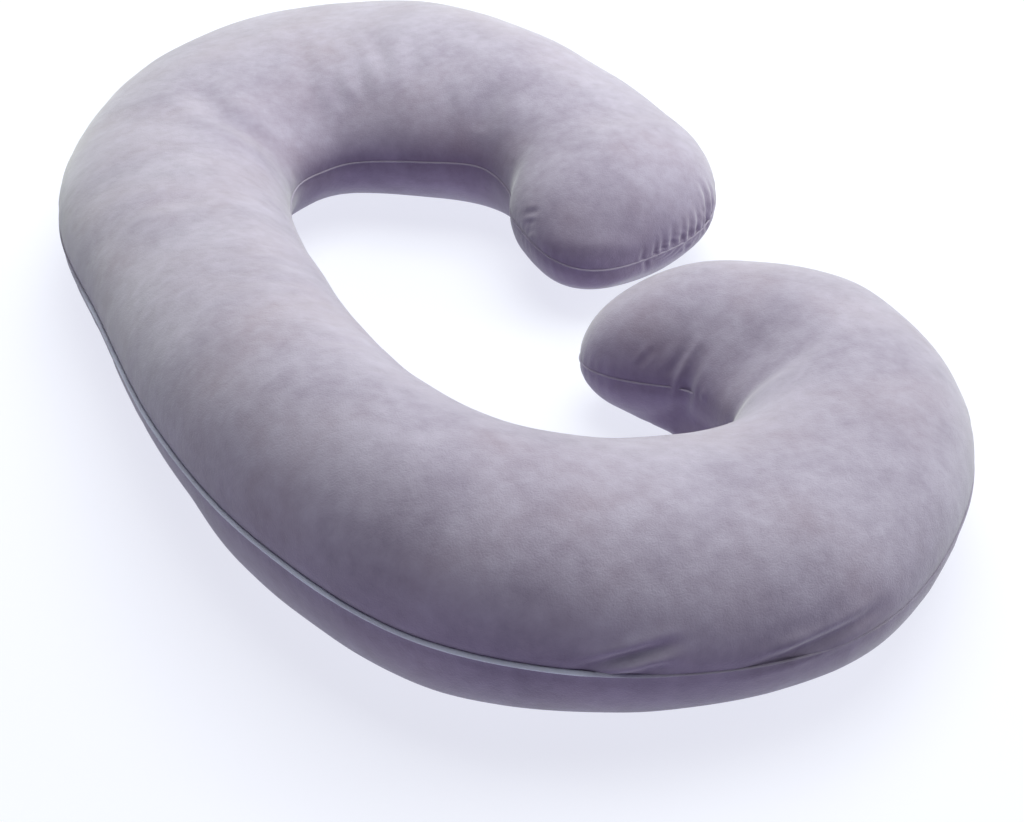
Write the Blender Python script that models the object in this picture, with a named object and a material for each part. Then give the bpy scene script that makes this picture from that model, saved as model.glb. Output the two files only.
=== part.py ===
"""Pregnancy pillow: one stuffed C-shaped body with a seam welt sewn in round its rim.

Run with: blender --background --python part.py
Metres, +Z up. The pillow lies flat on the floor (z = 0), its long side along Y, its spine
towards -X and its mouth towards +X. The origin is the middle of the footprint, at floor level.
"""

import math

import bmesh
import bpy
from mathutils import Vector
from mathutils.kdtree import KDTree

# Driving sizes
OVERALL_LENGTH = 1.448  # 57 in, along Y
OVERALL_WIDTH = 0.792  # about 31 in, along X
SEAM_SHARE = 0.5  # height of the seam as a share of the crown height
CROWN_POWER = 2.15  # roundness of the upper half of a section, 2 is an ellipse
UNDER_POWER = 2.2  # the lower half is a little fuller
REST_SAG = 0.06  # share by which the underside would bulge through the floor, pressed flat

# Drawn-in seam and the welt in it
SEAM_DRAW = 0.006  # how far the seam pulls the side in
SEAM_DRAW_REACH = 0.014  # height above and below the seam that the pull reaches
WELT_RADIUS = 0.003
WELT_GAP = 0.0004  # clear of the fabric all round
WELT_SIDES = 6

# Mesh density
RINGS_PER_SPAN = 6  # sections between two rows of the table
CAP_RINGS = 9  # sections over each rounded end
RING_POINTS = 44  # points round one section
UPPER_END_SQUARENESS = 2.8  # plan shape of an end, 2 is round and more is blunter
LOWER_END_SQUARENESS = 1.9
END_DROP = 2.2  # how late the crown falls away over an end
END_SEAM_DROP = 0.22  # share of its height that the seam loses towards a tip

# Sections from the upper arm's end, round the spine, to the lower arm's end.
# Each gives the seam line's outer and inner point in plan and the crown height there.
SECTIONS = (
    # outer_x, outer_y, inner_x, inner_y, crown
    (0.404, 0.138, 0.118, 0.066, 0.170),
    (0.384, 0.288, 0.140, 0.134, 0.180),
    (0.321, 0.465, 0.126, 0.194, 0.199),
    (0.220, 0.640, 0.066, 0.235, 0.199),
    (0.020, 0.720, 0.000, 0.280, 0.185),
    (-0.180, 0.640, -0.045, 0.285, 0.175),
    (-0.325, 0.450, -0.095, 0.255, 0.172),
    (-0.388, 0.255, -0.130, 0.160, 0.178),
    (-0.392, 0.005, -0.150, -0.015, 0.192),
    (-0.388, -0.230, -0.157, -0.215, 0.214),
    (-0.350, -0.435, -0.145, -0.345, 0.225),
    (-0.260, -0.605, -0.100, -0.420, 0.214),
    (-0.092, -0.703, -0.030, -0.437, 0.188),
    (0.097, -0.715, 0.050, -0.443, 0.172),
    (0.268, -0.612, 0.112, -0.443, 0.165),
    (0.368, -0.467, 0.158, -0.398, 0.164),
    (0.385, -0.296, 0.138, -0.352, 0.162),
    (0.311, -0.195, 0.126, -0.314, 0.157),
)
UPPER_TIP = (0.250, -0.044)  # middle of the upper arm's blunt end
LOWER_TIP = (0.101, -0.177)  # tip of the lower arm, which curls inwards

# Main folds, each a shallow trough pressed into the cover along a line
FOLDS = (
    # from_x, from_y, from_z, to_x, to_y, to_z, half_width, depth
    (0.372, -0.020, 0.135, 0.345, 0.010, 0.162, 0.010, 0.0045),  # upper arm end, outer corner
    (0.340, -0.050, 0.120, 0.318, -0.015, 0.158, 0.010, 0.0040),
    (0.305, -0.066, 0.115, 0.290, -0.025, 0.155, 0.010, 0.0035),
    (0.112, 0.070, 0.105, 0.145, 0.085, 0.145, 0.009, 0.0040),  # upper arm, inner corner
    (0.125, -0.408, 0.070, 0.250, -0.380, 0.165, 0.026, 0.0260),  # lower bend, where it doubles back
    (0.135, -0.300, 0.110, 0.190, -0.250, 0.155, 0.010, 0.0040),  # lower arm, inner wall
    (0.150, -0.330, 0.105, 0.215, -0.285, 0.158, 0.011, 0.0050),
    (0.160, -0.350, 0.110, 0.235, -0.325, 0.160, 0.011, 0.0045),
    (-0.010, -0.700, 0.105, 0.055, -0.640, 0.150, 0.013, 0.0050),  # lower bend, above the seam
    (0.150, -0.690, 0.100, 0.240, -0.600, 0.140, 0.014, 0.0050),
)

VELOUR = ("Velour cover", (0.36, 0.33, 0.40, 1.0), 0.9)
WELT_VELOUR = ("Velour welt", (0.52, 0.50, 0.58, 1.0), 0.85)


def clear_scene():
    """Remove every object of the scene."""
    for obj in list(bpy.data.objects):
        bpy.data.objects.remove(obj, do_unlink=True)


def material(name, colour, roughness):
    """A plain Principled material."""
    made = bpy.data.materials.new(name)
    made.use_nodes = True
    shader = made.node_tree.nodes["Principled BSDF"]
    shader.inputs["Base Color"].default_value = colour
    shader.inputs["Roughness"].default_value = roughness
    shader.inputs["Metallic"].default_value = 0.0
    return made


def between(rows, index, share):
    """A row between two rows of the table, on the smooth curve through its neighbours."""
    before, start, end, after = rows[index : index + 4]
    square, cube = share * share, share * share * share
    return tuple(
        0.5 * (2 * q + (r - p) * share + (2 * p - 5 * q + 4 * r - s) * square + (3 * q - p - 3 * r + s) * cube)
        for p, q, r, s in zip(before, start, end, after)
    )


def lead(end, neighbour, tip):
    """A row beyond the end of the table, placed so that the body runs smoothly into its rounded end."""
    middle = (Vector(end[0:2]) + Vector(end[2:4])) / 2
    run = ((Vector(neighbour[0:2]) + Vector(neighbour[2:4])) / 2 - middle).length
    step = (tip - middle).normalized() * (2 * run)
    outer_x, outer_y, inner_x, inner_y, crown = neighbour
    return outer_x + step.x, outer_y + step.y, inner_x + step.x, inner_y + step.y, crown


def cap_sections(row, tip, squareness):
    """Sections over one end, from the last full row to the tip: (outer, inner, crown, share of it, seam)."""
    outer, inner, crown = Vector(row[0:2]), Vector(row[2:4]), row[4]
    middle, half = (outer + inner) / 2, (outer - inner) / 2
    found = []
    for step in range(1, CAP_RINGS + 1):
        along = math.sin(math.pi / 2 * step / CAP_RINGS) if step < CAP_RINGS else 1.0
        narrow = (1 - along**squareness) ** (1 / squareness)
        low = (1 - along**END_DROP) ** (1 / END_DROP)
        centre = middle + (tip - middle) * along
        seam = crown * SEAM_SHARE * (1 - END_SEAM_DROP * along * along)
        found.append((centre + half * narrow, centre - half * narrow, crown, low, seam))
    return found


def sections():
    """Every section from tip to tip: (outer, inner, crown at full height, share of it left, seam height)."""
    upper_tip, lower_tip = Vector(UPPER_TIP), Vector(LOWER_TIP)
    before = lead(SECTIONS[0], SECTIONS[1], upper_tip)
    after = lead(SECTIONS[-1], SECTIONS[-2], lower_tip)
    rows = [before, *SECTIONS, after]
    body = [
        between(rows, index, step / RINGS_PER_SPAN)
        for index in range(len(SECTIONS) - 1)
        for step in range(RINGS_PER_SPAN)
    ] + [SECTIONS[-1]]
    middle = [(Vector(row[0:2]), Vector(row[2:4]), row[4], 1.0, row[4] * SEAM_SHARE) for row in body]
    first = cap_sections(SECTIONS[0], upper_tip, UPPER_END_SQUARENESS)
    last = cap_sections(SECTIONS[-1], lower_tip, LOWER_END_SQUARENESS)
    return first[::-1] + middle + last


def fitted(found):
    """The sections centred on the origin and stretched so that the pillow has the driving sizes."""
    points = [s[0] for s in found] + [s[1] for s in found]
    low = Vector((min(p.x for p in points), min(p.y for p in points)))
    high = Vector((max(p.x for p in points), max(p.y for p in points)))
    middle, span = (low + high) / 2, high - low
    proud = 2 * (welt_offset() + WELT_RADIUS)
    stretch_x = (OVERALL_WIDTH - proud) / span.x
    stretch_y = (OVERALL_LENGTH - proud) / span.y

    def moved(point):
        """The point on the stretched outline."""
        return Vector(((point.x - middle.x) * stretch_x, (point.y - middle.y) * stretch_y))

    return [(moved(outer), moved(inner), *heights) for outer, inner, *heights in found]


def welt_offset():
    """How far the welt's centre lies outside the seam line before the seam is drawn in."""
    return WELT_RADIUS / math.cos(math.pi / WELT_SIDES) + 2 * WELT_GAP - SEAM_DRAW


def powered(value, power):
    """A signed power, which turns a circle into a fuller or squarer oval."""
    return math.copysign(abs(value) ** (2 / power), value)


def ring(outer, inner, crown, share, seam):
    """The points of one section, from the outer seam over the crown to the inner seam and back below."""
    centre, half = (outer + inner) / 2, (outer - inner) / 2
    points = []
    for step in range(RING_POINTS):
        angle = 2 * math.pi * step / RING_POINTS
        over = math.sin(angle) >= 0
        power = CROWN_POWER if over else UNDER_POWER
        across = centre + half * powered(math.cos(angle), power)
        rise = (crown * (1 - SEAM_SHARE) if over else seam * (1 + REST_SAG)) * share
        points.append(Vector((across.x, across.y, max(0.0, seam + rise * powered(math.sin(angle), power)))))
    return points


def outline(found):
    """The seam line as a closed loop of (point, outward direction, height), outer side first."""
    loop = [(s[0], s[4]) for s in found]
    loop += [(s[1], s[4]) for s in reversed(found[1:-1])]
    turned = []
    for index, (point, height) in enumerate(loop):
        ahead, behind = loop[(index + 1) % len(loop)][0], loop[index - 1][0]
        along = (ahead - behind).normalized()
        turned.append((point, Vector((-along.y, along.x)), height))
    middle = sum((p for p, _, _ in turned), Vector((0, 0))) / len(turned)
    far = max(turned, key=lambda entry: (entry[0] - middle).length)
    if far[1].dot(far[0] - middle) < 0:
        turned = [(p, -n, z) for p, n, z in turned]
    return turned


def seam_finder(line):
    """A search tree over the seam line, seen from above."""
    tree = KDTree(len(line))
    for index, (point, _, _) in enumerate(line):
        tree.insert((point.x, point.y, 0.0), index)
    tree.balance()
    return tree


def drawn_in(point, line, tree):
    """The point pulled in where it lies near the seam."""
    _, index, _ = tree.find((point.x, point.y, 0.0))
    _, outward, height = line[index]
    pull = SEAM_DRAW * math.exp(-(((point.z - height) / SEAM_DRAW_REACH) ** 2))
    return point - Vector((outward.x, outward.y, 0.0)) * pull


def fold_depth(point):
    """How deep the folds press in at this point."""
    depth = 0.0
    for ax, ay, az, bx, by, bz, half_width, deep in FOLDS:
        start, end = Vector((ax, ay, az)), Vector((bx, by, bz))
        run = end - start
        share = min(max((point - start).dot(run) / run.length_squared, 0.0), 1.0)
        away = (point - start - run * share).length
        depth += deep * math.exp(-((away / half_width) ** 2))
    return depth


def cushion_mesh(found, line):
    """The stuffed body: rings of points between the two tips, closed at each tip by one point."""
    tree = seam_finder(line)
    mesh = bmesh.new()
    rings = []
    for section in found[1:-1]:
        points = [drawn_in(p, line, tree) for p in ring(*section)]
        rings.append([mesh.verts.new(p) for p in points])
    for index in range(len(rings) - 1):
        here, there = rings[index], rings[index + 1]
        for k in range(RING_POINTS):
            after = (k + 1) % RING_POINTS
            mesh.faces.new((here[k], there[k], there[after], here[after]))
    for tip, edge in ((found[0], rings[0]), (found[-1], rings[-1])):
        pole = mesh.verts.new(drawn_in(Vector((tip[0].x, tip[0].y, tip[4])), line, tree))
        for k in range(RING_POINTS):
            mesh.faces.new((pole, edge[k], edge[(k + 1) % RING_POINTS]))
    bmesh.ops.recalc_face_normals(mesh, faces=mesh.faces[:])
    mesh.normal_update()
    for vert in mesh.verts:
        if vert.co.z > SEAM_DRAW_REACH:
            vert.co -= vert.normal * fold_depth(vert.co)
    return mesh


def welt_mesh(line):
    """The welt: a thin cord that follows the seam line once round, just clear of the fabric."""
    mesh = bmesh.new()
    rings = []
    for point, outward, height in line:
        out = Vector((outward.x, outward.y, 0.0))
        base = Vector((point.x, point.y, height))
        centre = base + out * welt_offset()
        turn = 2 * math.pi / WELT_SIDES
        rings.append(
            [
                mesh.verts.new(
                    centre
                    + out * math.cos(turn * (k + 0.5)) * WELT_RADIUS
                    + Vector((0, 0, math.sin(turn * (k + 0.5)) * WELT_RADIUS))
                )
                for k in range(WELT_SIDES)
            ]
        )
    for index, here in enumerate(rings):
        there = rings[(index + 1) % len(rings)]
        for k in range(WELT_SIDES):
            after = (k + 1) % WELT_SIDES
            mesh.faces.new((here[k], there[k], there[after], here[after]))
    bmesh.ops.recalc_face_normals(mesh, faces=mesh.faces[:])
    return mesh


def add_object(name, mesh, look, parent):
    """Make the named object from the mesh and hang it under the parent."""
    data = bpy.data.meshes.new(name)
    mesh.to_mesh(data)
    mesh.free()
    data.materials.append(material(*look))
    for face in data.polygons:
        face.use_smooth = True
    made = bpy.data.objects.new(name, data)
    made.parent = parent
    bpy.context.scene.collection.objects.link(made)
    return made


def main():
    """Build the pillow."""
    clear_scene()
    root = bpy.data.objects.new("pillow", None)
    bpy.context.scene.collection.objects.link(root)
    found = fitted(sections())
    line = outline(found)
    add_object("cushion", cushion_mesh(found, line), VELOUR, root)
    add_object("seam_welt", welt_mesh(line), WELT_VELOUR, root)


main()
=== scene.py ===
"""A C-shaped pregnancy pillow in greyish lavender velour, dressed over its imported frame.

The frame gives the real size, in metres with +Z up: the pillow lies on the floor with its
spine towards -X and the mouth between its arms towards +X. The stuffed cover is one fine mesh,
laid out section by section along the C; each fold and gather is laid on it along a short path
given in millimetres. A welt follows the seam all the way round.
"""

from __future__ import annotations

import logging
import math
from dataclasses import dataclass, field
from enum import Enum

import bpy
import numpy as np
from mathutils import Matrix, Vector, kdtree, noise

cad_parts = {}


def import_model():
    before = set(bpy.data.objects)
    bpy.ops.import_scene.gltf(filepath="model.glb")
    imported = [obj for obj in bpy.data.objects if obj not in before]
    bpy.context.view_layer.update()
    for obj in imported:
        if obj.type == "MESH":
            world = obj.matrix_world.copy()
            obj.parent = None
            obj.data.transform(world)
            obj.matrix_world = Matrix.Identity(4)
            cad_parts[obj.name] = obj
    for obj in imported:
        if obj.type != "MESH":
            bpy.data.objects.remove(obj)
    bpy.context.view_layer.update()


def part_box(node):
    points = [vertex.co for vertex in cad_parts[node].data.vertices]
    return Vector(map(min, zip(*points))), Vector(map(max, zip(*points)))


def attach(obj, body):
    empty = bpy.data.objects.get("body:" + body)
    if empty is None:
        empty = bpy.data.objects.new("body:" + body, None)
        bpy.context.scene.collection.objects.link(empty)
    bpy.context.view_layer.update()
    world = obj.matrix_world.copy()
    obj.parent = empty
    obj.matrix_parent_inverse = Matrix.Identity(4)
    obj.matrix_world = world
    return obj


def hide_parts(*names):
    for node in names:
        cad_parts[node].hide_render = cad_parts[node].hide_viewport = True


log = logging.getLogger("pregnancy_pillow")

Tree = bpy.types.NodeTree
Socket = bpy.types.NodeSocket

MM = 0.001
TINY = 1e-9  # least length that a direction is divided by
RIDGE_HIGHLIGHT = "painted_ridge_highlight"  # mesh attribute that says how strong a ridge's painted highlight is


def linear(hex_colour: str) -> tuple[float, float, float, float]:
    """Turn an sRGB hex colour into the linear colour that a shader takes.

    Args:
        hex_colour: The colour as "#rrggbb".

    Returns:
        Red, green, blue and an alpha of 1, in linear light.
    """
    channels = [int(hex_colour[k : k + 2], 16) / 255 for k in (1, 3, 5)]
    # The sRGB curve: a straight foot, then a power.
    red, green, blue = (c / 12.92 if c <= 0.04045 else ((c + 0.055) / 1.055) ** 2.4 for c in channels)
    return red, green, blue, 1.0


def add_node(
    tree: Tree,
    kind: str,
    settings: dict[str, object] | None = None,
    values: dict[str | int, object] | None = None,
    links: dict[str | int, Socket] | None = None,
) -> bpy.types.Node:
    """Add a shader node with its settings, socket values and incoming links.

    Args:
        tree: The node tree that takes the node.
        kind: Blender's name for the kind of node.
        settings: Properties of the node itself.
        values: Values for its input sockets, by name or number.
        links: Output sockets to join to its inputs, by name or number.

    Returns:
        The new node.
    """
    node = tree.nodes.new(kind)
    for name, value in (settings or {}).items():
        setattr(node, name, value)
    for name, value in (values or {}).items():
        node.inputs[name].default_value = value
    for name, socket in (links or {}).items():
        tree.links.new(socket, node.inputs[name])
    return node


def new_material(name: str) -> tuple[bpy.types.Material, Tree]:
    """Make an empty node material.

    Args:
        name: The material's name.

    Returns:
        The material and its cleared node tree.
    """
    material = bpy.data.materials.new(name)
    material.use_nodes = True
    material.node_tree.nodes.clear()
    return material, material.node_tree


def smooth_noise(points: np.ndarray, scale_mm: float, seed: float) -> np.ndarray:
    """Sample soft three-dimensional noise at many points.

    Args:
        points: Points in metres, one row each.
        scale_mm: Size of one lump of the noise.
        seed: Offset that picks another piece of the noise.

    Returns:
        One value for each point, about -1 to 1.
    """
    scaled = points / (scale_mm * MM) + seed
    return np.array([noise.noise(Vector(p)) for p in scaled])


def lengths_along(line: np.ndarray) -> np.ndarray:
    """How far along a line each of its corners lies.

    Args:
        line: Corners of the line, in order.

    Returns:
        One length for each corner, from 0.
    """
    return np.concatenate([[0.0], np.cumsum(np.linalg.norm(np.diff(line, axis=0), axis=1))])


def nearest_on(points: np.ndarray, line: np.ndarray) -> tuple[np.ndarray, np.ndarray]:
    """How far points lie from a line, and beside which part of it.

    Args:
        points: The points.
        line: Corners of the line, in order.

    Returns:
        Distances, and how far along the line the nearest place is, from 0 to 1.
    """
    best, share = np.full(len(points), np.inf), np.zeros(len(points))
    for k in range(len(line) - 1):
        run = line[k + 1] - line[k]
        part = np.clip((points - line[k]) @ run / (run @ run), 0.0, 1.0)
        away = np.linalg.norm(points - line[k] - part[:, None] * run, axis=1)
        share = np.where(away < best, (k + part) / (len(line) - 1), share)
        best = np.minimum(away, best)
    return best, share


def signed_volume(mesh: bpy.types.Mesh) -> float:
    """The volume that a closed mesh encloses, negative when it is inside out.

    Args:
        mesh: The mesh.

    Returns:
        Cubic metres.
    """
    mesh.calc_loop_triangles()
    corners = np.array([mesh.vertices[v].co for t in mesh.loop_triangles for v in t.vertices])
    a, b, c = corners.reshape(-1, 3, 3).transpose(1, 0, 2)
    return float(np.einsum("ij,ij->i", a, np.cross(b, c)).sum() / 6)


def smooth_object(name: str, points: np.ndarray, faces: list[list[int]]) -> bpy.types.Object:
    """Make a closed, smooth mesh object whose faces look outwards.

    Args:
        name: Name of the object and its mesh.
        points: Corners in metres, one row each.
        faces: Corner numbers of each face.

    Returns:
        The object, linked to the scene.
    """
    mesh = bpy.data.meshes.new(name)
    mesh.from_pydata(points.tolist(), [], faces)
    mesh.validate()
    made = bpy.data.objects.new(name, mesh)
    bpy.context.scene.collection.objects.link(made)
    if signed_volume(mesh) < 0:
        mesh.flip_normals()
    mesh.shade_smooth()
    return made


@dataclass(frozen=True)
class Station:
    """One section of the C: the seam's two points in plan and the crown height between them."""

    outer_x: float
    outer_y: float
    inner_x: float
    inner_y: float
    crown: float

    def row(self) -> tuple[float, ...]:
        """The shape values, in the order that the form interpolates them."""
        return self.outer_x, self.outer_y, self.inner_x, self.inner_y, self.crown


@dataclass
class PillowForm:
    """The stuffed C as a surface over (station, turn), at the frame's real size.

    Stations count along the C from the upper arm's end; -1 is its tip. Turns go round a section,
    0 at the outer seam, a quarter on the crown, a half at the inner seam.
    """

    crown_power: float = 2.15  # fullness of a section above the seam, where 2 is an ellipse
    crook_power: float = 1.55  # flatter slope inside the crook of the lower arm
    crook: tuple[float, float] = (15.6, 0.9)  # its station and its reach in stations
    under_power: float = 2.2  # fullness below the seam
    rest_sag: float = 0.06  # share by which the underside is pressed flat on the floor
    seam_share: float = 0.5  # height of the seam, as a share of the crown
    end_squareness: tuple[float, float] = (2.8, 1.9)  # of the upper and the lower arm, in plan
    end_drop: float = 2.2  # fullness of the crown as it comes down over an end
    end_seam_drop: float = 0.22  # share of its height that the seam loses at a tip
    seam_draw: float = 1.7 * MM  # how far the stitching draws the cover in
    seam_draw_reach: float = 7.0 * MM
    welt_slack: float = 0.45  # share of the welt that shows where the covers pull it in
    welt_full: tuple[float, float] = (7.3, 12.1)  # it stands full round the outside of the spine
    welt_fade: float = 0.5  # stations over which it sinks
    welt_proud: float = 1.26 * MM  # how far the frame's welt stands out past the seam line
    outline_samples: int = 1200
    upper_tip: tuple[float, float] = (0.250, -0.044)
    lower_tip: tuple[float, float] = (0.101, -0.177)
    # The solid's sections, from the upper arm's end round the spine to the lower's; the crook of
    # the lower arm is a little fuller, as the filling pushes into it.
    stations: tuple[Station, ...] = (
        # outer_x, outer_y, inner_x, inner_y, crown
        Station(0.404, 0.138, 0.118, 0.066, 0.170),
        Station(0.384, 0.288, 0.140, 0.134, 0.180),
        Station(0.321, 0.465, 0.126, 0.194, 0.199),
        Station(0.220, 0.640, 0.066, 0.235, 0.199),
        Station(0.020, 0.720, 0.000, 0.280, 0.185),
        Station(-0.180, 0.640, -0.045, 0.285, 0.175),
        Station(-0.325, 0.450, -0.095, 0.255, 0.172),
        Station(-0.388, 0.255, -0.130, 0.160, 0.178),
        Station(-0.392, 0.005, -0.150, -0.015, 0.192),
        Station(-0.388, -0.230, -0.157, -0.215, 0.214),
        Station(-0.350, -0.435, -0.145, -0.345, 0.225),
        Station(-0.260, -0.605, -0.100, -0.420, 0.214),
        Station(-0.092, -0.703, -0.030, -0.437, 0.188),
        Station(0.097, -0.715, 0.050, -0.443, 0.172),
        Station(0.268, -0.612, 0.108, -0.440, 0.165),
        Station(0.368, -0.467, 0.143, -0.398, 0.164),
        Station(0.385, -0.296, 0.141, -0.352, 0.162),
        Station(0.311, -0.195, 0.112, -0.308, 0.157),
    )
    centre: np.ndarray = field(default_factory=lambda: np.zeros(2))
    stretch: np.ndarray = field(default_factory=lambda: np.ones(2))
    last: int = field(init=False)
    rows: np.ndarray = field(init=False)

    def __post_init__(self) -> None:
        """Keep the table as one array, with a leading row beyond each end."""
        rows = np.array([station.row() for station in self.stations])
        self.last = len(self.stations) - 1
        before = self.lead(rows[0], rows[1], self.upper_tip)
        after = self.lead(rows[-1], rows[-2], self.lower_tip)
        self.rows = np.vstack([before, rows, after])

    @staticmethod
    def lead(end: np.ndarray, neighbour: np.ndarray, tip: tuple[float, float]) -> np.ndarray:
        """A row beyond an end, placed so that the body runs smoothly into its rounded end.

        Args:
            end: The last row of the table at this end.
            neighbour: The row before it.
            tip: The tip in plan.

        Returns:
            The extra row.
        """
        middle = (end[0:2] + end[2:4]) / 2
        run = np.linalg.norm((neighbour[0:2] + neighbour[2:4]) / 2 - middle)
        towards = np.array(tip) - middle
        step = 2 * run * towards / np.linalg.norm(towards)
        return neighbour + np.array([*step, *step, 0.0])

    def fit_to_frame(self, low: Vector, high: Vector) -> None:
        """Centre and stretch the outline so that it fills the frame's footprint.

        Args:
            low: Lowest corner of the frame's box.
            high: Highest corner of the frame's box.
        """
        places = np.linspace(-1.0, self.last + 1.0, self.outline_samples)
        outline = np.vstack(self.section(places)[:2])
        self.centre = (outline.max(0) + outline.min(0)) / 2
        target = np.array([high.x - low.x, high.y - low.y]) - 2 * self.welt_proud
        self.stretch = target / (outline.max(0) - outline.min(0))

    def interpolated(self, place: np.ndarray) -> np.ndarray:
        """The table's values anywhere between two stations, on a smooth curve.

        Args:
            place: Stations, from 0 to the last.

        Returns:
            One row of shape values for each place.
        """
        index = np.clip(np.floor(place).astype(int), 0, self.last - 1)
        share = (place - index)[:, None]
        # A Catmull-Rom curve from one row to the next, steered by the rows on either side.
        before, start, end, after = (self.rows[index + k] for k in range(4))
        return 0.5 * (
            2 * start
            + (end - before) * share
            + (2 * before - 5 * start + 4 * end - after) * share**2
            + (3 * start - before - 3 * end + after) * share**3
        )

    def section(self, place: np.ndarray) -> tuple[np.ndarray, ...]:
        """The seam's two points and the heights of a section.

        Args:
            place: Stations, from -1 at the upper tip to the last plus 1 at the lower tip.

        Returns:
            Outer points, inner points, full crown heights, the shares of them that are left over
            the rounded ends, and seam heights.
        """
        row = self.interpolated(np.clip(place, 0, self.last))
        outer, inner, crown = row[:, 0:2], row[:, 2:4], row[:, 4]
        over = np.clip(np.maximum(-place, place - self.last), 0.0, 1.0)
        along = np.sin(math.pi / 2 * over)
        square = np.where(place < 0, self.end_squareness[0], self.end_squareness[1])
        narrow = (1 - along**square).clip(0) ** (1 / square)
        low = (1 - along**self.end_drop).clip(0) ** (1 / self.end_drop)
        tip = np.where((place < 0)[:, None], np.array(self.upper_tip), np.array(self.lower_tip))
        middle, half = (outer + inner) / 2, (outer - inner) / 2
        centre = middle + (tip - middle) * along[:, None]
        half = half * narrow[:, None]
        outer = (centre + half - self.centre) * self.stretch
        inner = (centre - half - self.centre) * self.stretch
        seam = crown * self.seam_share * (1 - self.end_seam_drop * along**2)
        return outer, inner, crown, low, seam

    def outward(self, place: np.ndarray) -> tuple[np.ndarray, np.ndarray]:
        """Directions that point straight out of the pillow in plan, at both seams.

        Args:
            place: Stations.

        Returns:
            Unit directions at the outer and at the inner seam.
        """
        step = 0.002  # in stations, far less than a bend
        low, high = np.maximum(place - step, -1.0), np.minimum(place + step, self.last + 1.0)
        behind, ahead = self.section(low), self.section(high)
        found = []
        for side, sign in ((0, 1.0), (1, -1.0)):
            run = ahead[side] - behind[side]
            turned = np.stack([run[:, 1], -run[:, 0]], 1) * sign
            found.append(turned / np.maximum(np.linalg.norm(turned, axis=1), TINY)[:, None])
        return found[0], found[1]

    def welt_share(self, place: np.ndarray) -> np.ndarray:
        """How much of the welt shows along the outer seam.

        Args:
            place: Stations.

        Returns:
            Shares of its full size.
        """
        first, final = self.welt_full
        full = np.clip(np.minimum(place - first, final - place) / self.welt_fade, 0.0, 1.0)
        return self.welt_slack + (1 - self.welt_slack) * full

    def surface(self, place: np.ndarray, turn: np.ndarray) -> np.ndarray:
        """Points of the stuffed body, before any fold.

        Args:
            place: Stations, one for each point.
            turn: Angles round the section in radians, one for each point.

        Returns:
            Points in metres, one row each.
        """
        outer, inner, crown, low, seam = self.section(place)
        cosine, sine = np.cos(turn), np.sin(turn)
        over = sine >= 0
        station, reach = self.crook
        eased = np.where(cosine < 0, np.exp(-(((place - station) / reach) ** 2)), 0.0)
        crown_power = self.crown_power + (self.crook_power - self.crown_power) * eased
        power = 2 / np.where(over, crown_power, self.under_power)
        across = np.sign(cosine) * np.abs(cosine) ** power
        up = np.sign(sine) * np.abs(sine) ** power
        rise = np.where(over, crown * (1 - self.seam_share), seam * (1 + self.rest_sag)) * low
        plan = (outer + inner) / 2 + (outer - inner) / 2 * across[:, None]
        height = np.maximum(0.0, seam + rise * up)
        pull = self.stitch_pull(place, (1 + across) / 2, height - seam)
        return np.column_stack([plan - pull, height])

    def stitch_pull(self, place: np.ndarray, side: np.ndarray, above: np.ndarray) -> np.ndarray:
        """How far the stitching draws the cover in beside the seam.

        Args:
            place: Stations, one for each point.
            side: 1 at the outer seam, 0 at the inner seam.
            above: Heights over the seam, in metres.

        Returns:
            Moves in plan, in metres, along the outward directions.
        """
        at_outer, at_inner = self.outward(place)
        out = at_outer * side[:, None] + at_inner * (1 - side[:, None])
        out /= np.maximum(np.linalg.norm(out, axis=1), TINY)[:, None]
        share = self.welt_share(place) * side + self.welt_slack * (1 - side)
        pull = self.seam_draw * share * np.exp(-((above / self.seam_draw_reach) ** 2))
        return out * pull[:, None]


class Taper(Enum):
    """Where along its path a fold is deepest."""

    MIDDLE = "dies away at both ends"
    START = "deepest where it starts, at the seam"


@dataclass(frozen=True)
class FoldProfile:
    """The cross-section that all folds share, in widths of the fold, and how they fade."""

    shoulder_place: float = 1.7  # where the ridge beside it crests
    shoulder_width: float = 0.8
    felt: float = 4.0  # it isn't felt beyond this
    start_fade: float = 0.8  # powers that set how slowly it dies away along its path
    middle_fade: float = 0.7
    blunt: float = 0.02  # share of the path at each end where it stops fading
    steps: int = 16  # points along a path laid on the cover


PROFILE = FoldProfile()


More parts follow.
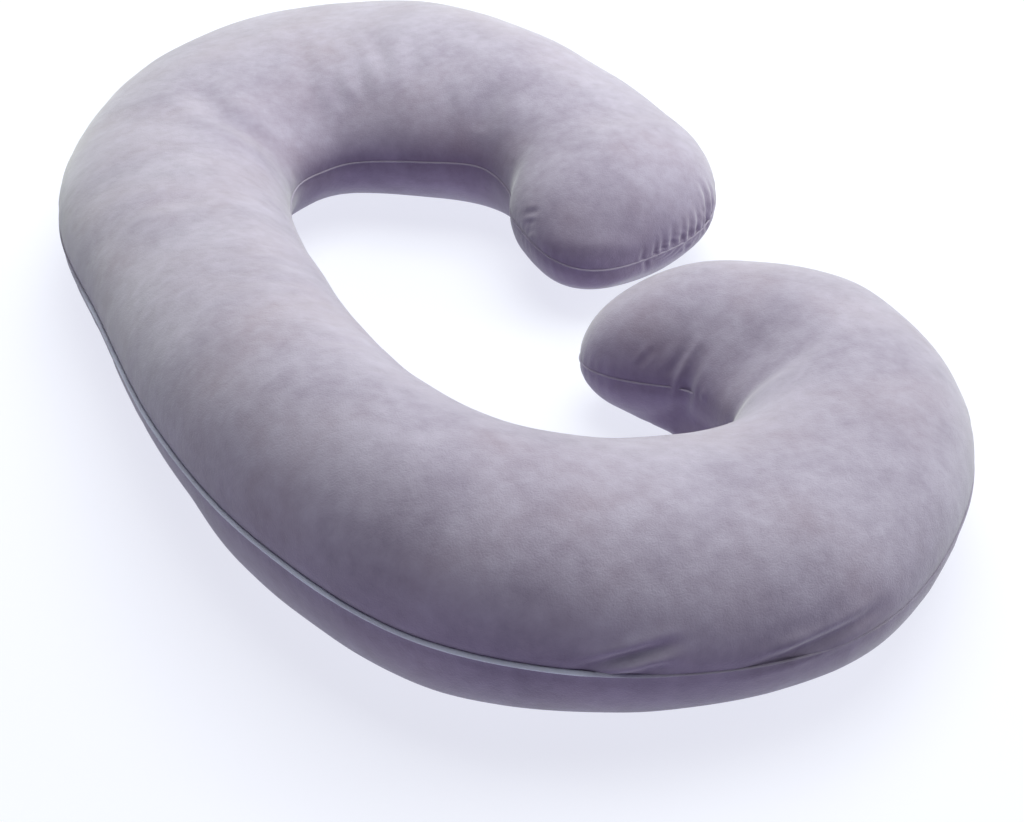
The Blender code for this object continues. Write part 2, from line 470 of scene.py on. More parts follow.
@dataclass(frozen=True)
class Fold:
    """A crease in the cover along a short path, or a raised pinch where the depth is negative."""

    path: tuple[tuple[float, float, float], ...]  # x, y, z in millimetres, close to the cover
    width_mm: float
    depth_mm: float
    taper: Taper = Taper.MIDDLE
    shoulder: float = 0.3  # height of the ridges beside it, as a share of the depth

    def laid_on(self, flat: np.ndarray, out: np.ndarray, tree: kdtree.KDTree) -> np.ndarray:
        """The fold's path in small steps, laid on the cover.

        Args:
            flat: Points of the cover.
            out: Outward directions at them.
            tree: The same points, for finding the nearest.

        Returns:
            Points on the cover, in metres.
        """
        corners = np.array(self.path) * MM
        length = lengths_along(corners)
        steps = np.linspace(0.0, length[-1], PROFILE.steps)
        line = np.column_stack([np.interp(steps, length, corners[:, k]) for k in range(3)])
        laid = []
        for point in line:
            index = tree.find(point)[1]
            laid.append(point - out[index] * ((point - flat[index]) @ out[index]))
        return np.array(laid)

    def rise(self, away: np.ndarray, share: np.ndarray) -> np.ndarray:
        """How far the fold lifts or presses the cover.

        Args:
            away: Distances from the path, in metres.
            share: How far along the path each point lies, from 0 to 1.

        Returns:
            Heights along the normal, in metres.
        """
        width = self.width_mm * MM
        fade = (1 - share) ** PROFILE.start_fade
        if self.taper is Taper.MIDDLE:
            kept = np.clip(share, PROFILE.blunt, 1 - PROFILE.blunt)
            fade = np.sin(math.pi * kept) ** PROFILE.middle_fade
        valley = -np.exp(-((away / width) ** 2))
        beside = (away - PROFILE.shoulder_place * width) / (PROFILE.shoulder_width * width)
        ridge = self.shoulder * np.exp(-(beside**2))
        return (valley + ridge) * fade * self.depth_mm * MM


# Folds seen in the cover, named by where they lie: path, width, depth, taper and shoulder.
UPPER_ARM_GATHERS = (
    Fold(((352, 6, 74), (352, 23, 101), (350, 30, 115)), 4.0, 2.2, Taper.START),
    Fold(((338, -8, 70), (338, 11, 102), (333, 21, 122)), 5.0, 4.6, Taper.START),
    Fold(((316, -20, 72), (317, -5, 106)), 4.0, 2.4, Taper.START),
    Fold(((300, -28, 72), (303, -13, 102)), 4.0, 2.1, Taper.START),
    Fold(((287, -35, 72), (290, -22, 97)), 3.6, 1.8, Taper.START),
    Fold(((271, -41, 72), (273, -28, 100)), 4.0, 2.1, Taper.START),
    Fold(((256, -46, 72), (257, -34, 96)), 4.0, 1.8, Taper.START),
    Fold(((244, -50, 71), (245, -39, 91)), 3.6, 1.5, Taper.START),
    Fold(((225, -55, 70), (227, -46, 86)), 3.6, 1.5, Taper.START),
    Fold(((230, -52, 62), (232, -44, 44)), 4.0, 1.8, Taper.START),
    Fold(((296, -30, 60), (301, -27, 46)), 4.5, 2.2, Taper.START),
    # Two wide low swells, above and below the seam.
    Fold(((122, 22, 90), (150, -26, 91), (205, -52, 91), (258, -46, 90)), 12.0, -1.3, Taper.MIDDLE, 0.0),
    Fold(((126, 10, 52), (150, -30, 50), (205, -56, 48), (270, -46, 48)), 12.0, -2.0, Taper.MIDDLE, 0.0),
    # Puckers at the inner corner.
    Fold(((113, 47, 106), (123, 21, 119)), 4.5, 1.6),
    Fold(((108, 40, 99), (117, 17, 109)), 4.5, 2.0),
    Fold(((106, 34, 93), (114, 12, 102)), 4.5, 1.6),
)
FAR_ARM_WRINKLES = (
    Fold(((-10, 530, 183), (-42, 339, 151)), 13.0, 1.8),
    Fold(((75, 455, 193), (54, 342, 177)), 11.0, 1.9),
    Fold(((39, 401, 184), (13, 318, 154)), 11.0, 1.8),
    Fold(((112, 400, 197), (82, 307, 176)), 12.0, 1.6),
    Fold(((113, 279, 177), (98, 243, 154)), 9.0, 1.4),
    Fold(((170, 243, 183), (123, 208, 140)), 18.0, 3.5),
    Fold(((-10, 385, 172), (-6, 319, 146)), 10.0, 1.4),
    Fold(((-182, 435, 172), (-162, 320, 166), (-124, 269, 140), (-113, 236, 108)), 20.0, 4.5),
    Fold(((-175, 120, 156), (-166, 77, 146)), 5.0, 1.2),
)
SPINE_WRINKLES = (
    Fold(((-333, 106, 174), (-281, 86, 185), (-245, 84, 184)), 18.0, 2.0),
    Fold(((-217, -38, 185), (-177, -19, 157)), 7.0, 1.0),
    Fold(((-267, -98, 201), (-205, -115, 185)), 7.0, 1.0),
    Fold(((-290, -154, 207), (-201, -165, 187)), 7.0, 1.0),
    Fold(((-247, -185, 205), (-186, -205, 175)), 7.0, 1.0),
    Fold(((-194, -251, 191), (-183, -272, 183)), 6.0, 1.2),
    Fold(((-255, -299, 220), (-201, -317, 206)), 7.0, 1.1),
)
FRONT_PLEATS = (
    Fold(((-162, -678, 103), (-128, -690, 113), (-85, -699, 124)), 5.5, 5.5),
    Fold(((-150, -686, 102), (-108, -698, 112)), 5.0, -2.0),
    Fold(((-118, -698, 103), (-91, -706, 103)), 4.5, 1.8),
    Fold(((-32, -721, 90), (5, -725, 95), (29, -724, 98), (57, -720, 101), (102, -711, 105)), 6.5, 4.8),
    Fold(((-8, -720, 105), (26, -719, 109)), 6.0, -1.2),
)
LOWER_ARM_CREASES = (
    Fold(((104, -286, 115), (89, -285, 94)), 4.0, -1.0),
    Fold(((110, -291, 116), (91, -287, 94)), 4.0, 1.2),
    Fold(((135, -299, 129), (106, -304, 92)), 4.0, -1.3),
    Fold(((140, -313, 120), (113, -312, 90)), 5.0, 1.8),
    Fold(((149, -313, 129), (128, -315, 102), (118, -320, 80), (110, -318, 50)), 4.0, -2.2),
    Fold(((148, -324, 125), (131, -328, 94), (120, -330, 62), (118, -325, 35)), 7.0, 3.0),
    Fold(((130, -351, 95), (126, -353, 79)), 3.5, -1.0),
)
# The filling bulges into the crook and fills the foot of its wall, beside a broad valley.
CROOK_FILLING = (
    Fold(((138, -392, 60), (155, -388, 105), (185, -380, 140)), 46.0, -6.0, Taper.START, 0.0),
    Fold(
        ((112, -404, 60), (145, -410, 105), (190, -412, 142), (250, -392, 163)),
        15.0,
        7.0,
        Taper.START,
        0.0,
    ),
    Fold(
        ((148, -345, 22), (141, -320, 22), (136, -297, 22), (126, -270, 24), (112, -245, 28)),
        15.0,
        -34.0,
        Taper.START,
        0.0,
    ),
    Fold(((100, -180, 20), (105, -205, 20), (112, -232, 22)), 15.0, 8.0, Taper.MIDDLE, 0.0),
)
FOLDS = (
    *UPPER_ARM_GATHERS,
    *FAR_ARM_WRINKLES,
    *SPINE_WRINKLES,
    *FRONT_PLEATS,
    *LOWER_ARM_CREASES,
    *CROOK_FILLING,
)


@dataclass(frozen=True)
class Ripple:
    """A row of small ridges that the stitching pulls up beside a seam."""

    height_mm: float
    pitch_mm: float
    stray: float  # how far the pitch strays, in radians
    steady: float  # share of the height that is there all along
    reach: float  # how far from the seam the ridges run
    clear: float  # how close to the seam they start

    def rise(self, run: np.ndarray, uneven: np.ndarray, shown: np.ndarray, away: np.ndarray) -> np.ndarray:
        """How far the ridges lift the cover.

        Args:
            run: Lengths along the seam, one for each ring.
            uneven: Soft noise, one value for each ring.
            shown: Share of the ridges that shows, one for each ring.
            away: Distances from the seam, a grid with a row for each ring.

        Returns:
            A grid of heights along the normal, in metres.
        """
        wave = np.sin(2 * math.pi * run / (self.pitch_mm * MM) + self.stray * uneven)
        band = np.exp(-((away / self.reach) ** 2)) * (1 - np.exp(-((away / self.clear) ** 2)))
        return self.height_mm * MM * (wave * shown * (self.steady + uneven))[:, None] * band


@dataclass(frozen=True)
class Grain:
    """Unevenness of one size in a finish."""

    size_mm: float
    detail: float  # octaves of finer noise
    roughness: float  # strength of the finer noise


@dataclass(frozen=True)
class Velour:
    """Knitted polyester velour: a short cut pile that lies one way in places and another beside it.

    The pile scatters light, so the cover has no gloss; it glows pale where it is seen at a glancing
    angle, has painted shade on its sides, and hands have brushed it into soft lighter and darker patches.
    """

    name: str = "Polyester velour, knitted and sheared"
    lying: str = "#91879f"  # pile that lies flat, away from the light
    lifted: str = "#ada5bc"  # pile that stands up to the light
    warm: str = "#a08f9f"  # pinker where the pile is parted
    painted_side_shade: str = "#c2b7ca"  # painted shade: tint multiplied into the sides and underside as they turn away from the sky
    edge: str | None = None  # painted highlight colour on a ridge, as strong as the mesh attribute says
    cloud: Grain = Grain(85.0, 2.0, 0.5)  # broad patches, brushed one way or the other
    crush: Grain = Grain(17.0, 4.0, 0.62)  # patches that a hand leaves
    parting: Grain = Grain(136.0, 2.0, 0.5)  # where the pile opens
    pile: Grain = Grain(1.6, 2.0, 0.6)  # real pile is 0.3 mm, drawn coarser to show in the render
    cloud_share: float = 0.9  # of the broad patches in the brushing, where crushed ones have 1
    lying_to_lifted: tuple[float, float] = (0.60, 1.30)  # brushing at which the pile lies, stands
    closed_to_parted: tuple[float, float] = (0.42, 0.72)
    most_warm: float = 0.5
    shade_side_to_crown: tuple[float, float] = (-0.1, 0.96)  # how squarely a spot faces up, from full painted side shade to none
    sheen: float = 0.55
    sheen_roughness: float = 0.5
    sheen_colour: str = "#f6fbf6"
    roughness: float = 0.95
    specular: float = 0.1
    bump_mm: float = 0.6
    bump_strength: float = 0.7
    crush_relief: float = 1.6  # of the crushed patches in the relief, where the pile has 1

    def material(self) -> bpy.types.Material:
        """Build the node material.

        Returns:
            The velour material.
        """
        material, tree = new_material(self.name)
        place = add_node(tree, "ShaderNodeTexCoord").outputs["Object"]
        cloud, crush, parting, pile = (
            add_node(
                tree,
                "ShaderNodeTexNoise",
                {},
                {"Scale": 1 / (grain.size_mm * MM), "Detail": grain.detail, "Roughness": grain.roughness},
                {"Vector": place},
            ).outputs["Fac"]
            for grain in (self.cloud, self.crush, self.parting, self.pile)
        )
        colour = self.brushed(tree, cloud, crush, parting)
        # painted shade: the sides and underside are darkened as the cover turns from the sky
        colour = self.paint_shade_on_sides(tree, colour)
        # painted highlight on the welt's ridge, as strong as the mesh attribute says
        if self.edge:
            colour = self.paint_highlight_on_ridge(tree, colour)
        shader = add_node(
            tree,
            "ShaderNodeBsdfPrincipled",
            {},
            {
                "Roughness": self.roughness,
                "Specular IOR Level": self.specular,
                "Sheen Weight": self.sheen,
                "Sheen Roughness": self.sheen_roughness,
                "Sheen Tint": linear(self.sheen_colour),
            },
            {"Base Color": colour, "Normal": self.relief(tree, crush, pile)},
        )
        add_node(tree, "ShaderNodeOutputMaterial", links={"Surface": shader.outputs["BSDF"]})
        return material

    def brushed(self, tree: Tree, cloud: Socket, crush: Socket, parting: Socket) -> Socket:
        """Colour the pile by how it has been brushed, darker where it lies and warm where it parts.

        Args:
            tree: The material's node tree.
            cloud: Noise of the broad patches.
            crush: Noise of the crushed patches.
            parting: Noise of the parted pile.

        Returns:
            The colour.
        """
        brushing = add_node(
            tree,
            "ShaderNodeMath",
            {"operation": "MULTIPLY_ADD"},
            {1: self.cloud_share},
            {0: cloud, 2: crush},
        )
        lies, stands = self.lying_to_lifted
        lift = add_node(
            tree,
            "ShaderNodeMapRange",
            {},
            {"From Min": lies, "From Max": stands, "To Min": 0.0, "To Max": 1.0},
            {"Value": brushing.outputs[0]},
        )
        closed, parted = self.closed_to_parted
        warmth = add_node(
            tree,
            "ShaderNodeMapRange",
            {},
            {"From Min": closed, "From Max": parted, "To Min": 0.0, "To Max": self.most_warm},
            {"Value": parting},
        )
        lying = add_node(
            tree,
            "ShaderNodeMix",
            {"data_type": "RGBA"},
            {6: linear(self.lying), 7: linear(self.warm)},
            {0: warmth.outputs[0]},
        )
        colour = add_node(
            tree,
            "ShaderNodeMix",
            {"data_type": "RGBA"},
            {7: linear(self.lifted)},
            {0: lift.outputs[0], 6: lying.outputs[2]},
        )
        return colour.outputs[2]

    def paint_shade_on_sides(self, tree: Tree, colour: Socket) -> Socket:
        """Paint shade into the colour where the cover turns away from the sky, darkest on the sides and
        underneath.

        Args:
            tree: The material's node tree.
            colour: The colour on the crown.

        Returns:
            The colour all over.
        """
        geometry = add_node(tree, "ShaderNodeNewGeometry")
        facing = add_node(tree, "ShaderNodeSeparateXYZ", links={0: geometry.outputs["Normal"]})
        side, top = self.shade_side_to_crown
        crown = add_node(
            tree,
            "ShaderNodeMapRange",
            {"interpolation_type": "SMOOTHSTEP"},
            {"From Min": side, "From Max": top, "To Min": 0.0, "To Max": 1.0},
            {"Value": facing.outputs["Z"]},
        )
        # painted shade tint on the sides, white on the crown
        shade_mix = add_node(
            tree,
            "ShaderNodeMix",
            {"data_type": "RGBA"},
            {6: linear(self.painted_side_shade), 7: linear("#ffffff")},
            {0: crown.outputs[0]},
        )
        shaded_colour = add_node(
            tree,
            "ShaderNodeMix",
            {"data_type": "RGBA", "blend_type": "MULTIPLY"},
            {0: 1.0},
            {6: colour, 7: shade_mix.outputs[2]},
        )
        return shaded_colour.outputs[2]

    def paint_highlight_on_ridge(self, tree: Tree, colour: Socket) -> Socket:
        """Paint a pale highlight into the colour, as strongly as the mesh attribute says.

        Args:
            tree: The material's node tree.
            colour: The colour beside the ridge.

        Returns:
            The colour all over.
        """
        where = add_node(tree, "ShaderNodeAttribute", {"attribute_name": RIDGE_HIGHLIGHT})
        highlighted = add_node(
            tree,
            "ShaderNodeMix",
            {"data_type": "RGBA"},
            {7: linear(self.edge)},
            {0: where.outputs["Fac"], 6: colour},
        )
        return highlighted.outputs[2]

    def relief(self, tree: Tree, crush: Socket, pile: Socket) -> Socket:
        """Roughen the surface with the pile and with the patches that hands have crushed.

        Args:
            tree: The material's node tree.
            crush: Noise of the crushed patches.
            pile: Noise of the pile.

        Returns:
            The bumped normal.
        """
        height = add_node(
            tree,
            "ShaderNodeMath",
            {"operation": "MULTIPLY_ADD"},
            {1: self.crush_relief},
            {0: crush, 2: pile},
        )
        bump = add_node(
            tree,
            "ShaderNodeBump",
            {},
            {"Strength": self.bump_strength, "Distance": self.bump_mm * MM},
            {"Height": height.outputs[0]},
        )
        return bump.outputs["Normal"]


COVER = Velour()
# The welt is strained round its filling; its colour carries a painted pale highlight, strongest where it
# stands full.
WELT = Velour(
    name="Polyester velour, sewn into a welt",
    lying="#8b8197",
    lifted="#a399b1",
    edge="#d4d7ee",
)


@dataclass
class Cushion:
    """The stuffed velour body: two panels drawn tight at the seam over a full filling."""

    form: PillowForm
    finish: Velour = COVER
    points_round: int = 164
    seam_crowding: float = 0.22  # how much denser the mesh is near the seams
    # Distance between rings, each from this station on: close where the cover gathers.
    ring_spacing_mm: tuple[tuple[float, float], ...] = (
        (-1.0, 2.1),
        (0.0, 5.5),
        (1.0, 10.5),
        (10.5, 7.5),
        (13.5, 8.5),
        (16.0, 4.5),
        (17.0, 4.0),
    )
    ring_samples: int = 6001
    lump_mm: float = 3.0  # height of the filling's lumps
    lump_sizes_mm: tuple[float, float] = (190.0, 75.0)
    lump_seeds: tuple[float, float] = (3.1, 8.7)
    small_lump_share: float = 0.6
    seam_hold: float = 35.0 * MM  # reach of the seam's pull, where the lumps die away
    floor_hold: float = 30.0 * MM  # height over which the floor's hold on the cover fades
    pucker: Ripple = Ripple(0.6, 13.0, 3.0, 0.6, 18.0 * MM, 4.0 * MM)
    swell: Ripple = Ripple(0.5, 62.0, 4.0, 0.5, 45.0 * MM, 8.0 * MM)
    uneven_run: float = 50.0 * MM  # length over which the stitching's pull changes
    seam_seeds: tuple[float, float] = (2.7, 6.3)  # outer seam, inner seam
    # Puckers show only before this station, and past this many stations before the last.
    puckered_ends: tuple[float, float] = (0.25, 0.6)
    pucker_fade: float = 0.5  # stations over which they die away
    fill: float = 0.9  # how firmly it is stuffed

    def build(self) -> bpy.types.Object:
        """Returns:
            The cushion object.
        """
        places, turns = self.ring_places(), self.ring_turns()
        place, turn = np.meshgrid(places, turns, indexing="ij")
        plain = self.form.surface(place.ravel(), turn.ravel()).reshape(*place.shape, 3)
        cushion = self.object_from(self.stuffed(plain, places, turns))
        cushion.data.materials.append(self.finish.material())
        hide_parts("cushion")
        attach(cushion, "root")
        return cushion

    def ring_places(self) -> np.ndarray:
        """Where the rings stand along the C.

        Returns:
            Stations of the rings, tips left out.
        """
        places = np.linspace(-1.0, self.form.last + 1.0, self.ring_samples)
        outer, inner = self.form.section(places)[:2]
        lines = (outer, inner, (outer + inner) / 2)
        longest = np.max([np.linalg.norm(np.diff(line, axis=0), axis=1) for line in lines], axis=0)
        starts = np.array([start for start, _ in self.ring_spacing_mm])
        spacing = np.array([step for _, step in self.ring_spacing_mm]) * MM
        middle = (places[:-1] + places[1:]) / 2
        wanted = spacing[np.searchsorted(starts, middle, side="right") - 1]
        count = np.concatenate([[0.0], np.cumsum(longest / wanted)])
        rings = np.linspace(0.0, count[-1], round(count[-1]) + 1)[1:-1]
        return np.interp(rings, count, places)

    def ring_turns(self) -> np.ndarray:
        """Where the points stand round a ring, closest at the two seams.

        Returns:
            Angles in radians.
        """
        even = 2 * math.pi * np.arange(self.points_round) / self.points_round
        return even - self.seam_crowding * np.sin(2 * even)

    def normals(self, points: np.ndarray) -> np.ndarray:
        """Outward directions over the grid.

        Args:
            points: The grid of points.

        Returns:
            A grid of unit directions.
        """
        along = np.gradient(points, axis=0)
        around = np.roll(points, -1, 1) - np.roll(points, 1, 1)
        normal = np.cross(around, along)
        normal /= np.maximum(np.linalg.norm(normal, axis=2), TINY)[..., None]
        crown = self.points_round // 4
        return normal if normal[len(points) // 2, crown, 2] > 0 else -normal

    def stuffed(self, plain: np.ndarray, places: np.ndarray, turns: np.ndarray) -> np.ndarray:
        """Add the filling's soft lumps, the puckers at the seam and the cover's folds.

        Args:
            plain: The grid of the plain body.
            places: Stations of the rings.
            turns: Angles of the points round a ring.

        Returns:
            The grid of the finished body.
        """
        normal = self.normals(plain)
        free = np.clip(plain[..., 2] / self.floor_hold, 0.0, 1.0)
        flat = plain.reshape(-1, 3)
        large, small = (
            smooth_noise(flat, size, seed) for size, seed in zip(self.lump_sizes_mm, self.lump_seeds)
        )
        lumps = large + self.small_lump_share * small
        rise = lumps.reshape(free.shape) * self.lump_mm * MM
        rise *= 1 - np.exp(-((self.from_seam(plain) / self.seam_hold) ** 2))
        rise += self.seam_puckers(plain, places, turns)
        rise += self.folds_rise(plain, normal)
        moved = plain + normal * (rise * free)[..., None]
        moved[..., 2] = np.maximum(moved[..., 2], 0.0)
        return moved

    def from_seam(self, plain: np.ndarray) -> np.ndarray:
        """How far each point lies from the nearer seam point of its ring.

        Args:
            plain: The grid of the plain body.

        Returns:
            A grid of distances in metres.
        """
        outer, inner = plain[:, 0], plain[:, self.points_round // 2]
        from_outer = np.linalg.norm(plain - outer[:, None], axis=2)
        from_inner = np.linalg.norm(plain - inner[:, None], axis=2)
        return np.minimum(from_outer, from_inner)

    def seam_puckers(self, plain: np.ndarray, places: np.ndarray, turns: np.ndarray) -> np.ndarray:
        """The small ridges that the stitching pulls up beside the seam.

        Args:
            plain: The grid of the plain body.
            places: Stations of the rings.
            turns: Angles of the points round a ring.

        Returns:
            A grid of heights along the normal, in metres.
        """
        upper, lower = self.puckered_ends
        past = np.maximum(upper - places, places - self.form.last + lower)
        at_ends = np.clip(past, 0.0, self.pucker_fade) / self.pucker_fade
        everywhere = np.ones(len(places))
        rise = np.zeros(plain.shape[:2])
        for side, column, seed in zip((1.0, -1.0), (0, self.points_round // 2), self.seam_seeds):
            seam = plain[:, column]
            run = lengths_along(seam)
            away = np.linalg.norm(plain - seam[:, None], axis=2)
            uneven = np.array([noise.noise(Vector((s / self.uneven_run, seed, 0.0))) for s in run])
            small = self.pucker.rise(run, uneven, at_ends, away)
            large = self.swell.rise(run, uneven, everywhere, away)
            beside = (side * np.cos(turns) > 0)[None, :]
            rise += np.where(beside, small + large, 0.0)
        return rise

    def folds_rise(self, plain: np.ndarray, normal: np.ndarray) -> np.ndarray:
        """How far the folds lift or press the cover.

        Args:
            plain: The grid of the plain body.
            normal: Outward directions over the grid.

        Returns:
            A grid of heights along the normal, in metres.
        """
        flat, out = plain.reshape(-1, 3), normal.reshape(-1, 3)
        tree = kdtree.KDTree(len(flat))
        for index, point in enumerate(flat.tolist()):
            tree.insert(point, index)
        tree.balance()
        rise = np.zeros(len(flat))
        for fold in FOLDS:
            line = fold.laid_on(flat, out, tree)
            felt = PROFILE.felt * fold.width_mm * MM
            near = np.all((flat > line.min(0) - felt) & (flat < line.max(0) + felt), axis=1)
            away, share = nearest_on(flat[near], line)
            rise[near] += fold.rise(away, share)
        return rise.reshape(plain.shape[:2])

    def object_from(self, points: np.ndarray) -> bpy.types.Object:
        """Join the grid into one closed mesh, with a point at each tip.

        Args:
            points: The grid of the finished body.

        Returns:
            The mesh object.
        """
        rings, count = points.shape[:2]
        tips = self.form.surface(np.array([-1.0, self.form.last + 1.0]), np.zeros(2))
        index = np.arange(rings * count).reshape(rings, count)
        after = np.roll(index, -1, 1)
        quads = np.stack([index[:-1], index[1:], after[1:], after[:-1]], -1).reshape(-1, 4)
        first, final = rings * count, rings * count + 1
        faces = quads.tolist()
        faces += [[first, int(a), int(b)] for a, b in zip(index[0], after[0])]
        faces += [[final, int(b), int(a)] for a, b in zip(index[-1], after[-1])]
        return smooth_object("velour_cushion", np.vstack([points.reshape(-1, 3), tips]), faces)


@dataclass
class SeamWelt:
    """The self-fabric ridge sewn in where the two panels meet."""

    form: PillowForm
    finish: Velour = WELT
    radius: float = 2.2 * MM
    stand: float = 1.1  # how much further it stands out than up
    flare: float = 0.6  # how much thicker it is where it meets the cover
    sewn_in: float = 0.6 * MM
    sides: int = 12
    step: float = 5.0 * MM
    route_samples: int = 3000
    highlight_power: float = 3.0  # how soon the painted highlight goes as the welt sinks
    unevenness: float = 0.05  # share by which its thickness comes and goes
    uneven_runs: tuple[float, float] = (31.0 * MM, 83.0 * MM)  # lengths for a radian of its two waves
    uneven_phase: float = 1.0

    def build(self) -> bpy.types.Object:
        """Returns:
            The welt object.
        """
        line, out, radius = self.route()
        reach = radius * self.stand
        drawn_in = self.form.seam_draw * radius / self.radius
        centre = line + out * (reach - drawn_in - self.sewn_in)[:, None]
        turn = 2 * math.pi * np.arange(self.sides) / self.sides
        up = np.array([0.0, 0.0, 1.0])
        thick = np.sin(turn) * (1 - self.flare * np.cos(turn))
        ring = (
            centre[:, None]
            + out[:, None] * np.cos(turn)[None, :, None] * reach[:, None, None]
            + up * thick[None, :, None] * radius[:, None, None]
        )
        rings, count = ring.shape[:2]
        index = np.arange(rings * count).reshape(rings, count)
        ahead, after = np.roll(index, -1, 0), np.roll(index, -1, 1)
        quads = np.stack([index, ahead, np.roll(ahead, -1, 1), after], -1).reshape(-1, 4)
        welt = smooth_object("velour_welt", ring.reshape(-1, 3), quads.tolist())
        # painted highlight, strongest where the welt stands full round the outside of the spine
        brushed = welt.data.attributes.new(RIDGE_HIGHLIGHT, "FLOAT", "POINT")
        highlight_share = (radius / radius.max()) ** self.highlight_power
        brushed.data.foreach_set("value", np.repeat(highlight_share, count))
        welt.data.materials.append(self.finish.material())
        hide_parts("seam_welt")
        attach(welt, "root")
        return welt

    def route(self) -> tuple[np.ndarray, np.ndarray, np.ndarray]:
        """The seam line once round, in steps that are even but closer where the welt sinks.

        Returns:
            Points on the seam, the outward direction and the welt's radius at each.
        """
        places = np.linspace(-1.0, self.form.last + 1.0, self.route_samples)
        outer, inner, _, _, height = self.form.section(places)
        slack = np.full(len(places), self.form.welt_slack)
        going = np.column_stack([outer, height, self.form.welt_share(places)])
        coming = np.column_stack([inner, height, slack])[::-1][1:-1]
        closed = np.vstack([going, coming, going[:1]])
        length = lengths_along(closed)
        count = int(length[-1] / self.step)
        wanted = np.linspace(0.0, length[-1], count, endpoint=False)
        even = np.column_stack([np.interp(wanted, length, closed[:, k]) for k in range(4)])
        line, share = even[:, :3], even[:, 3]
        run = np.roll(line, -1, 0) - np.roll(line, 1, 0)
        out = np.column_stack([-run[:, 1], run[:, 0], np.zeros(len(run))])
        out /= np.linalg.norm(out, axis=1)[:, None]
        spread = line[:, :2] - line[:, :2].mean(0)
        far = int(np.argmax(np.linalg.norm(spread, axis=1)))
        if out[far, :2] @ spread[far] < 0:
            out = -out
        short, long = self.uneven_runs
        waves = np.sin(wanted / short) * np.sin(wanted / long + self.uneven_phase)
        return line, out, self.radius * share * (1 + self.unevenness * waves)


@dataclass(frozen=True)
class Softbox:
    """A square soft light, aimed at the pillow."""

    name: str
    place: tuple[float, float, float]
    size: float
    power: float  # in watts


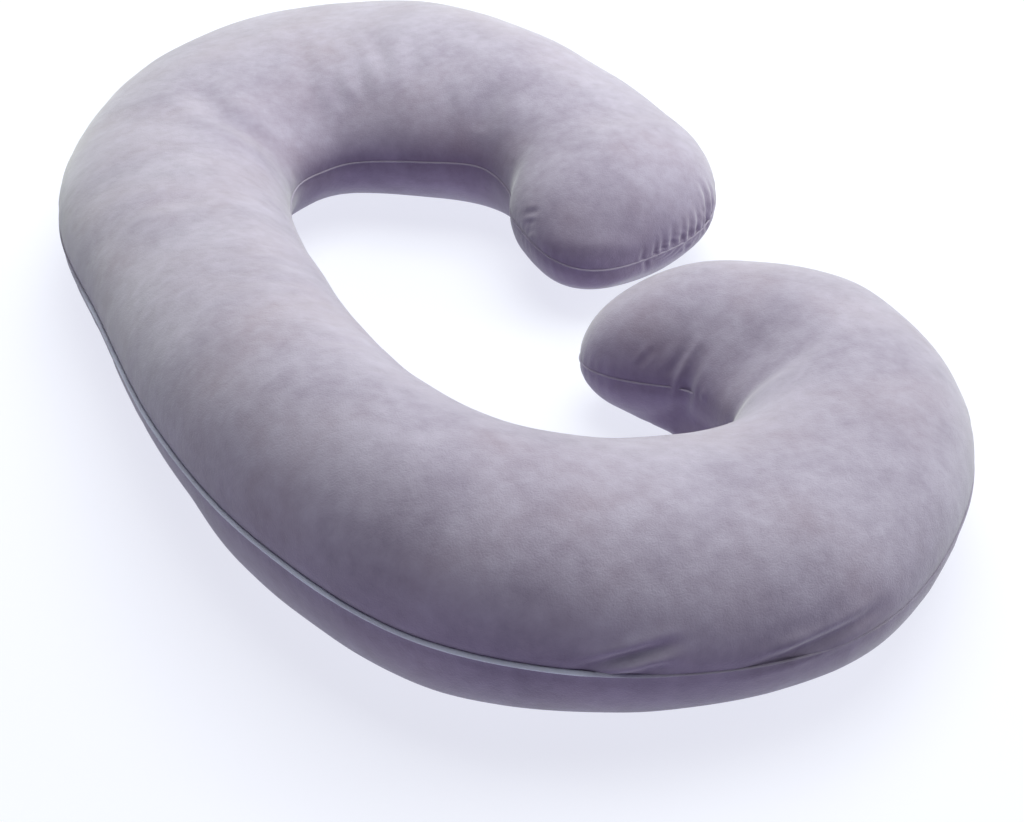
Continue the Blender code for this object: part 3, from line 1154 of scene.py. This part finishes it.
@dataclass
class Studio:
    """A plain pale floor, soft light from above and behind, and the camera."""

    elevation: float = 34.0  # in degrees above the floor
    azimuth: float = -23.79  # in degrees round from the near side
    distance: float = 1.785
    picture_width_px: int = 1024
    focal_px: float = 1652.5
    sensor_mm: float = 36.0
    target: tuple[float, float, float] = (-0.002, -0.182, 0.0)
    floor_reach: float = 15.0
    floor_rim: float = 1.4  # the far edge turns up, so that the table has no horizon
    floor_drop: float = 0.5 * MM
    floor_colour: str = "#85868b"
    floor_roughness: float = 0.95
    floor_specular: float = 0.1
    glow_colour: str = "#f2f4ff"
    floor_glow: float = 0.82  # the table is lit from below
    room_colour: str = "#eef0fa"
    room_glow: float = 0.04
    lamp_colour: str = "#fbfff6"
    aim: tuple[float, float, float] = (0.0, 0.0, 0.1)
    softboxes: tuple[Softbox, ...] = (
        Softbox("top_softbox", (0.6, 0.35, 3.0), 3.0, 107.0),
        Softbox("back_right_softbox", (1.6, 1.7, 2.2), 2.6, 52.0),
        Softbox("back_softbox", (0.2, 3.0, 0.9), 2.0, 46.0),
        Softbox("right_softbox", (2.8, -0.7, 0.9), 1.8, 44.0),
    )

    def build(self) -> None:
        """Lay the floor, hang the lights and place the camera."""
        self.lay_floor()
        self.light_room()
        self.hang_lights()
        self.place_camera()
        scene = bpy.context.scene
        scene.view_settings.view_transform = "Standard"
        scene.view_settings.look = "None"

    def lay_floor(self) -> None:
        """A wide floor just under the pillow, with its far edges turned up."""
        mesh = bpy.data.meshes.new("studio_floor")
        reach = self.floor_reach
        plan = [(-reach, -reach), (reach, -reach), (reach, reach), (-reach, reach)]
        corners = [(x, y, z) for z in (0.0, self.floor_rim) for x, y in plan]
        walls = [(k, k + 4, (k + 1) % 4 + 4, (k + 1) % 4) for k in range(4)]
        mesh.from_pydata(corners, [], [(0, 1, 2, 3), *walls])
        mesh.materials.append(self.light_table())
        floor = bpy.data.objects.new("studio_floor", mesh)
        floor.location.z = -self.floor_drop
        bpy.context.scene.collection.objects.link(floor)

    def light_table(self) -> bpy.types.Material:
        """Opal acrylic, lit from below: it glows evenly, so that shadows on it stay faint.

        Returns:
            The floor's material.
        """
        material, tree = new_material("Opal acrylic, lit from below")
        shader = add_node(
            tree,
            "ShaderNodeBsdfPrincipled",
            {},
            {
                "Base Color": linear(self.floor_colour),
                "Roughness": self.floor_roughness,
                "Specular IOR Level": self.floor_specular,
                "Emission Color": linear(self.glow_colour),
                "Emission Strength": self.floor_glow,
            },
        )
        add_node(tree, "ShaderNodeOutputMaterial", links={"Surface": shader.outputs["BSDF"]})
        return material

    def light_room(self) -> None:
        """A faint even glow all round."""
        world = bpy.data.worlds.new("studio_glow")
        world.use_nodes = True
        background = world.node_tree.nodes["Background"]
        background.inputs["Color"].default_value = linear(self.room_colour)
        background.inputs["Strength"].default_value = self.room_glow
        bpy.context.scene.world = world

    def hang_lights(self) -> None:
        """Broad soft lights from behind, the right and above."""
        for box in self.softboxes:
            light = bpy.data.lights.new(box.name, "AREA")
            light.shape = "SQUARE"
            light.size = box.size
            light.energy = box.power
            light.color = linear(self.lamp_colour)[:3]
            lamp = bpy.data.objects.new(box.name, light)
            lamp.location = box.place
            lamp.visible_camera = False
            towards = Vector(self.aim) - Vector(box.place)
            lamp.rotation_euler = towards.to_track_quat("-Z", "Y").to_euler()
            bpy.context.scene.collection.objects.link(lamp)

    def place_camera(self) -> None:
        """The camera at the photograph's viewing angle."""
        tilt, swing = math.radians(self.elevation), math.radians(self.azimuth)
        level = math.cos(tilt)
        back = Vector((math.sin(swing) * level, -math.cos(swing) * level, math.sin(tilt)))
        right = Vector((math.cos(swing), math.sin(swing), 0.0))
        up = back.cross(right)
        data = bpy.data.cameras.new("camera")
        data.sensor_fit = "HORIZONTAL"
        data.sensor_width = self.sensor_mm
        data.lens = self.sensor_mm * self.focal_px / self.picture_width_px
        camera = bpy.data.objects.new("camera", data)
        spot = Vector(self.target) + back * self.distance
        turn = Matrix((right, up, back)).transposed().to_4x4()
        camera.matrix_world = Matrix.Translation(spot) @ turn
        bpy.context.scene.collection.objects.link(camera)
        bpy.context.scene.camera = camera


def main() -> None:
    """Load the frame, build the pillow on it and light it."""
    logging.basicConfig(level=logging.INFO)
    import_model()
    form = PillowForm()
    form.fit_to_frame(*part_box("seam_welt"))
    cushion = Cushion(form).build()
    log.info("cushion: %d faces", len(cushion.data.polygons))
    welt = SeamWelt(form).build()
    log.info("seam welt: %d faces", len(welt.data.polygons))
    Studio().build()
    log.info("studio ready")


if __name__ == "__main__":
    main()
